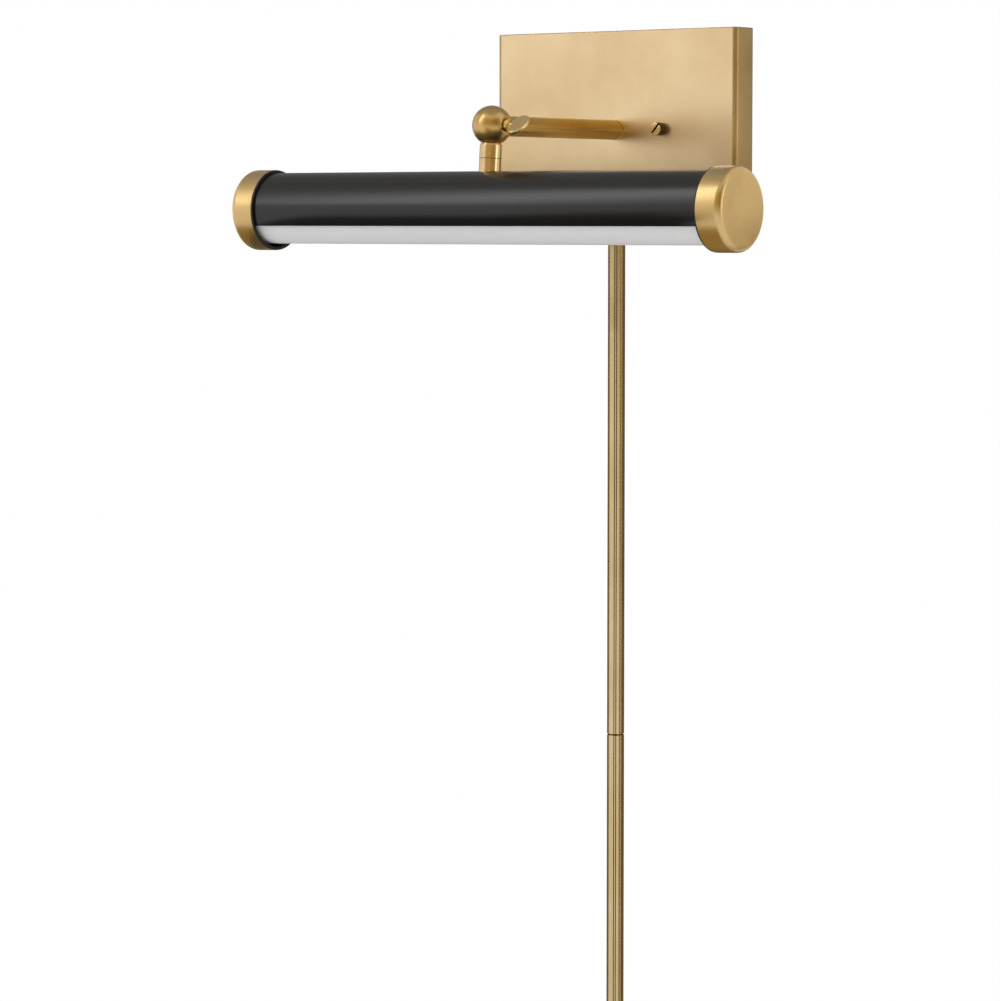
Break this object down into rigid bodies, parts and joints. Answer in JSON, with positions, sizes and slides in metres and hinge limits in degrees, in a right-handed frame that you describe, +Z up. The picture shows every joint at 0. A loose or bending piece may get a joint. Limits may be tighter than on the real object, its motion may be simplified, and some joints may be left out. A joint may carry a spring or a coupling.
{
  "type": "plug-in wall accent lamp",
  "caption": "Wall accent lamp: brass backplate and arm, ball knuckle with a turn key, tilting tube head with black shade and opal diffuser, and a cord cover down the wall.",
  "frame": {"origin": "on the wall plane, at the middle of the crossbar's back face, level with the arm's axis", "axes": "+Z up along the wall, +Y into the wall, +X to the right as seen from the room"},
  "size_m": [0.3644, 0.1801, 0.7793],
  "materials": {
    "antique_brass": "satin brushed, antiqued",
    "plated_steel": "zinc plated",
    "raw_brass": "machined",
    "black_paint": "satin black",
    "opal_acrylic": "opal, satin",
    "bare_aluminium": "extruded",
    "black_plastic": "moulded",
    "white_plastic": "moulded",
    "phosphor": "light chips, unlit",
    "foam_tape": "closed foam",
    "fibre": "pressed fibre"
  },
  "bodies": {
    "wall_bracket": {"backplate": "antique_brass", "crossbar": "plated_steel", "canopy_screws": "antique_brass", "ground_screw": "plated_steel", "arm": "antique_brass", "arm_washer": "plated_steel", "arm_nut": "plated_steel", "tail_bushing": "black_plastic", "arm_tongue": "raw_brass", "driver": "white_plastic", "driver_pad": "foam_tape", "light_lead": "black_plastic", "cord_cover_upper": "antique_brass", "cord_cover_lower": "antique_brass", "cover_joiner": "raw_brass", "cord_bushing": "black_plastic", "cover_clip": "antique_brass", "cover_clip_pad": "foam_tape"},
    "lamp_head": {"knuckle_ball": "antique_brass", "friction_washers": "fibre", "neck_collar": "antique_brass", "shade_saddle": "antique_brass", "stem_nipple": "plated_steel", "stem_nut": "plated_steel", "shade": "black_paint", "diffuser": "opal_acrylic", "heat_sink": "bare_aluminium", "light_board": "white_plastic", "lights": "phosphor", "end_plate_left": "black_plastic", "end_plate_right": "black_plastic", "end_plate_screws": "plated_steel", "end_cap_left": "antique_brass", "end_cap_right": "antique_brass", "head_lead": "black_plastic"},
    "key": {"thumb_key": "antique_brass"}
  },
  "joints": [
    {"name": "head_tilt", "type": "hinge", "parent": "wall_bracket", "child": "lamp_head", "pos_m": [0, -0.1505, 0], "axis": [1, 0, 0], "range_deg": [-40, 30]},
    {"name": "key_turn", "type": "hinge", "parent": "lamp_head", "child": "key", "pos_m": [0, -0.1505, 0], "axis": [1, 0, 0], "range_deg": [-30, 180]}
  ]
}
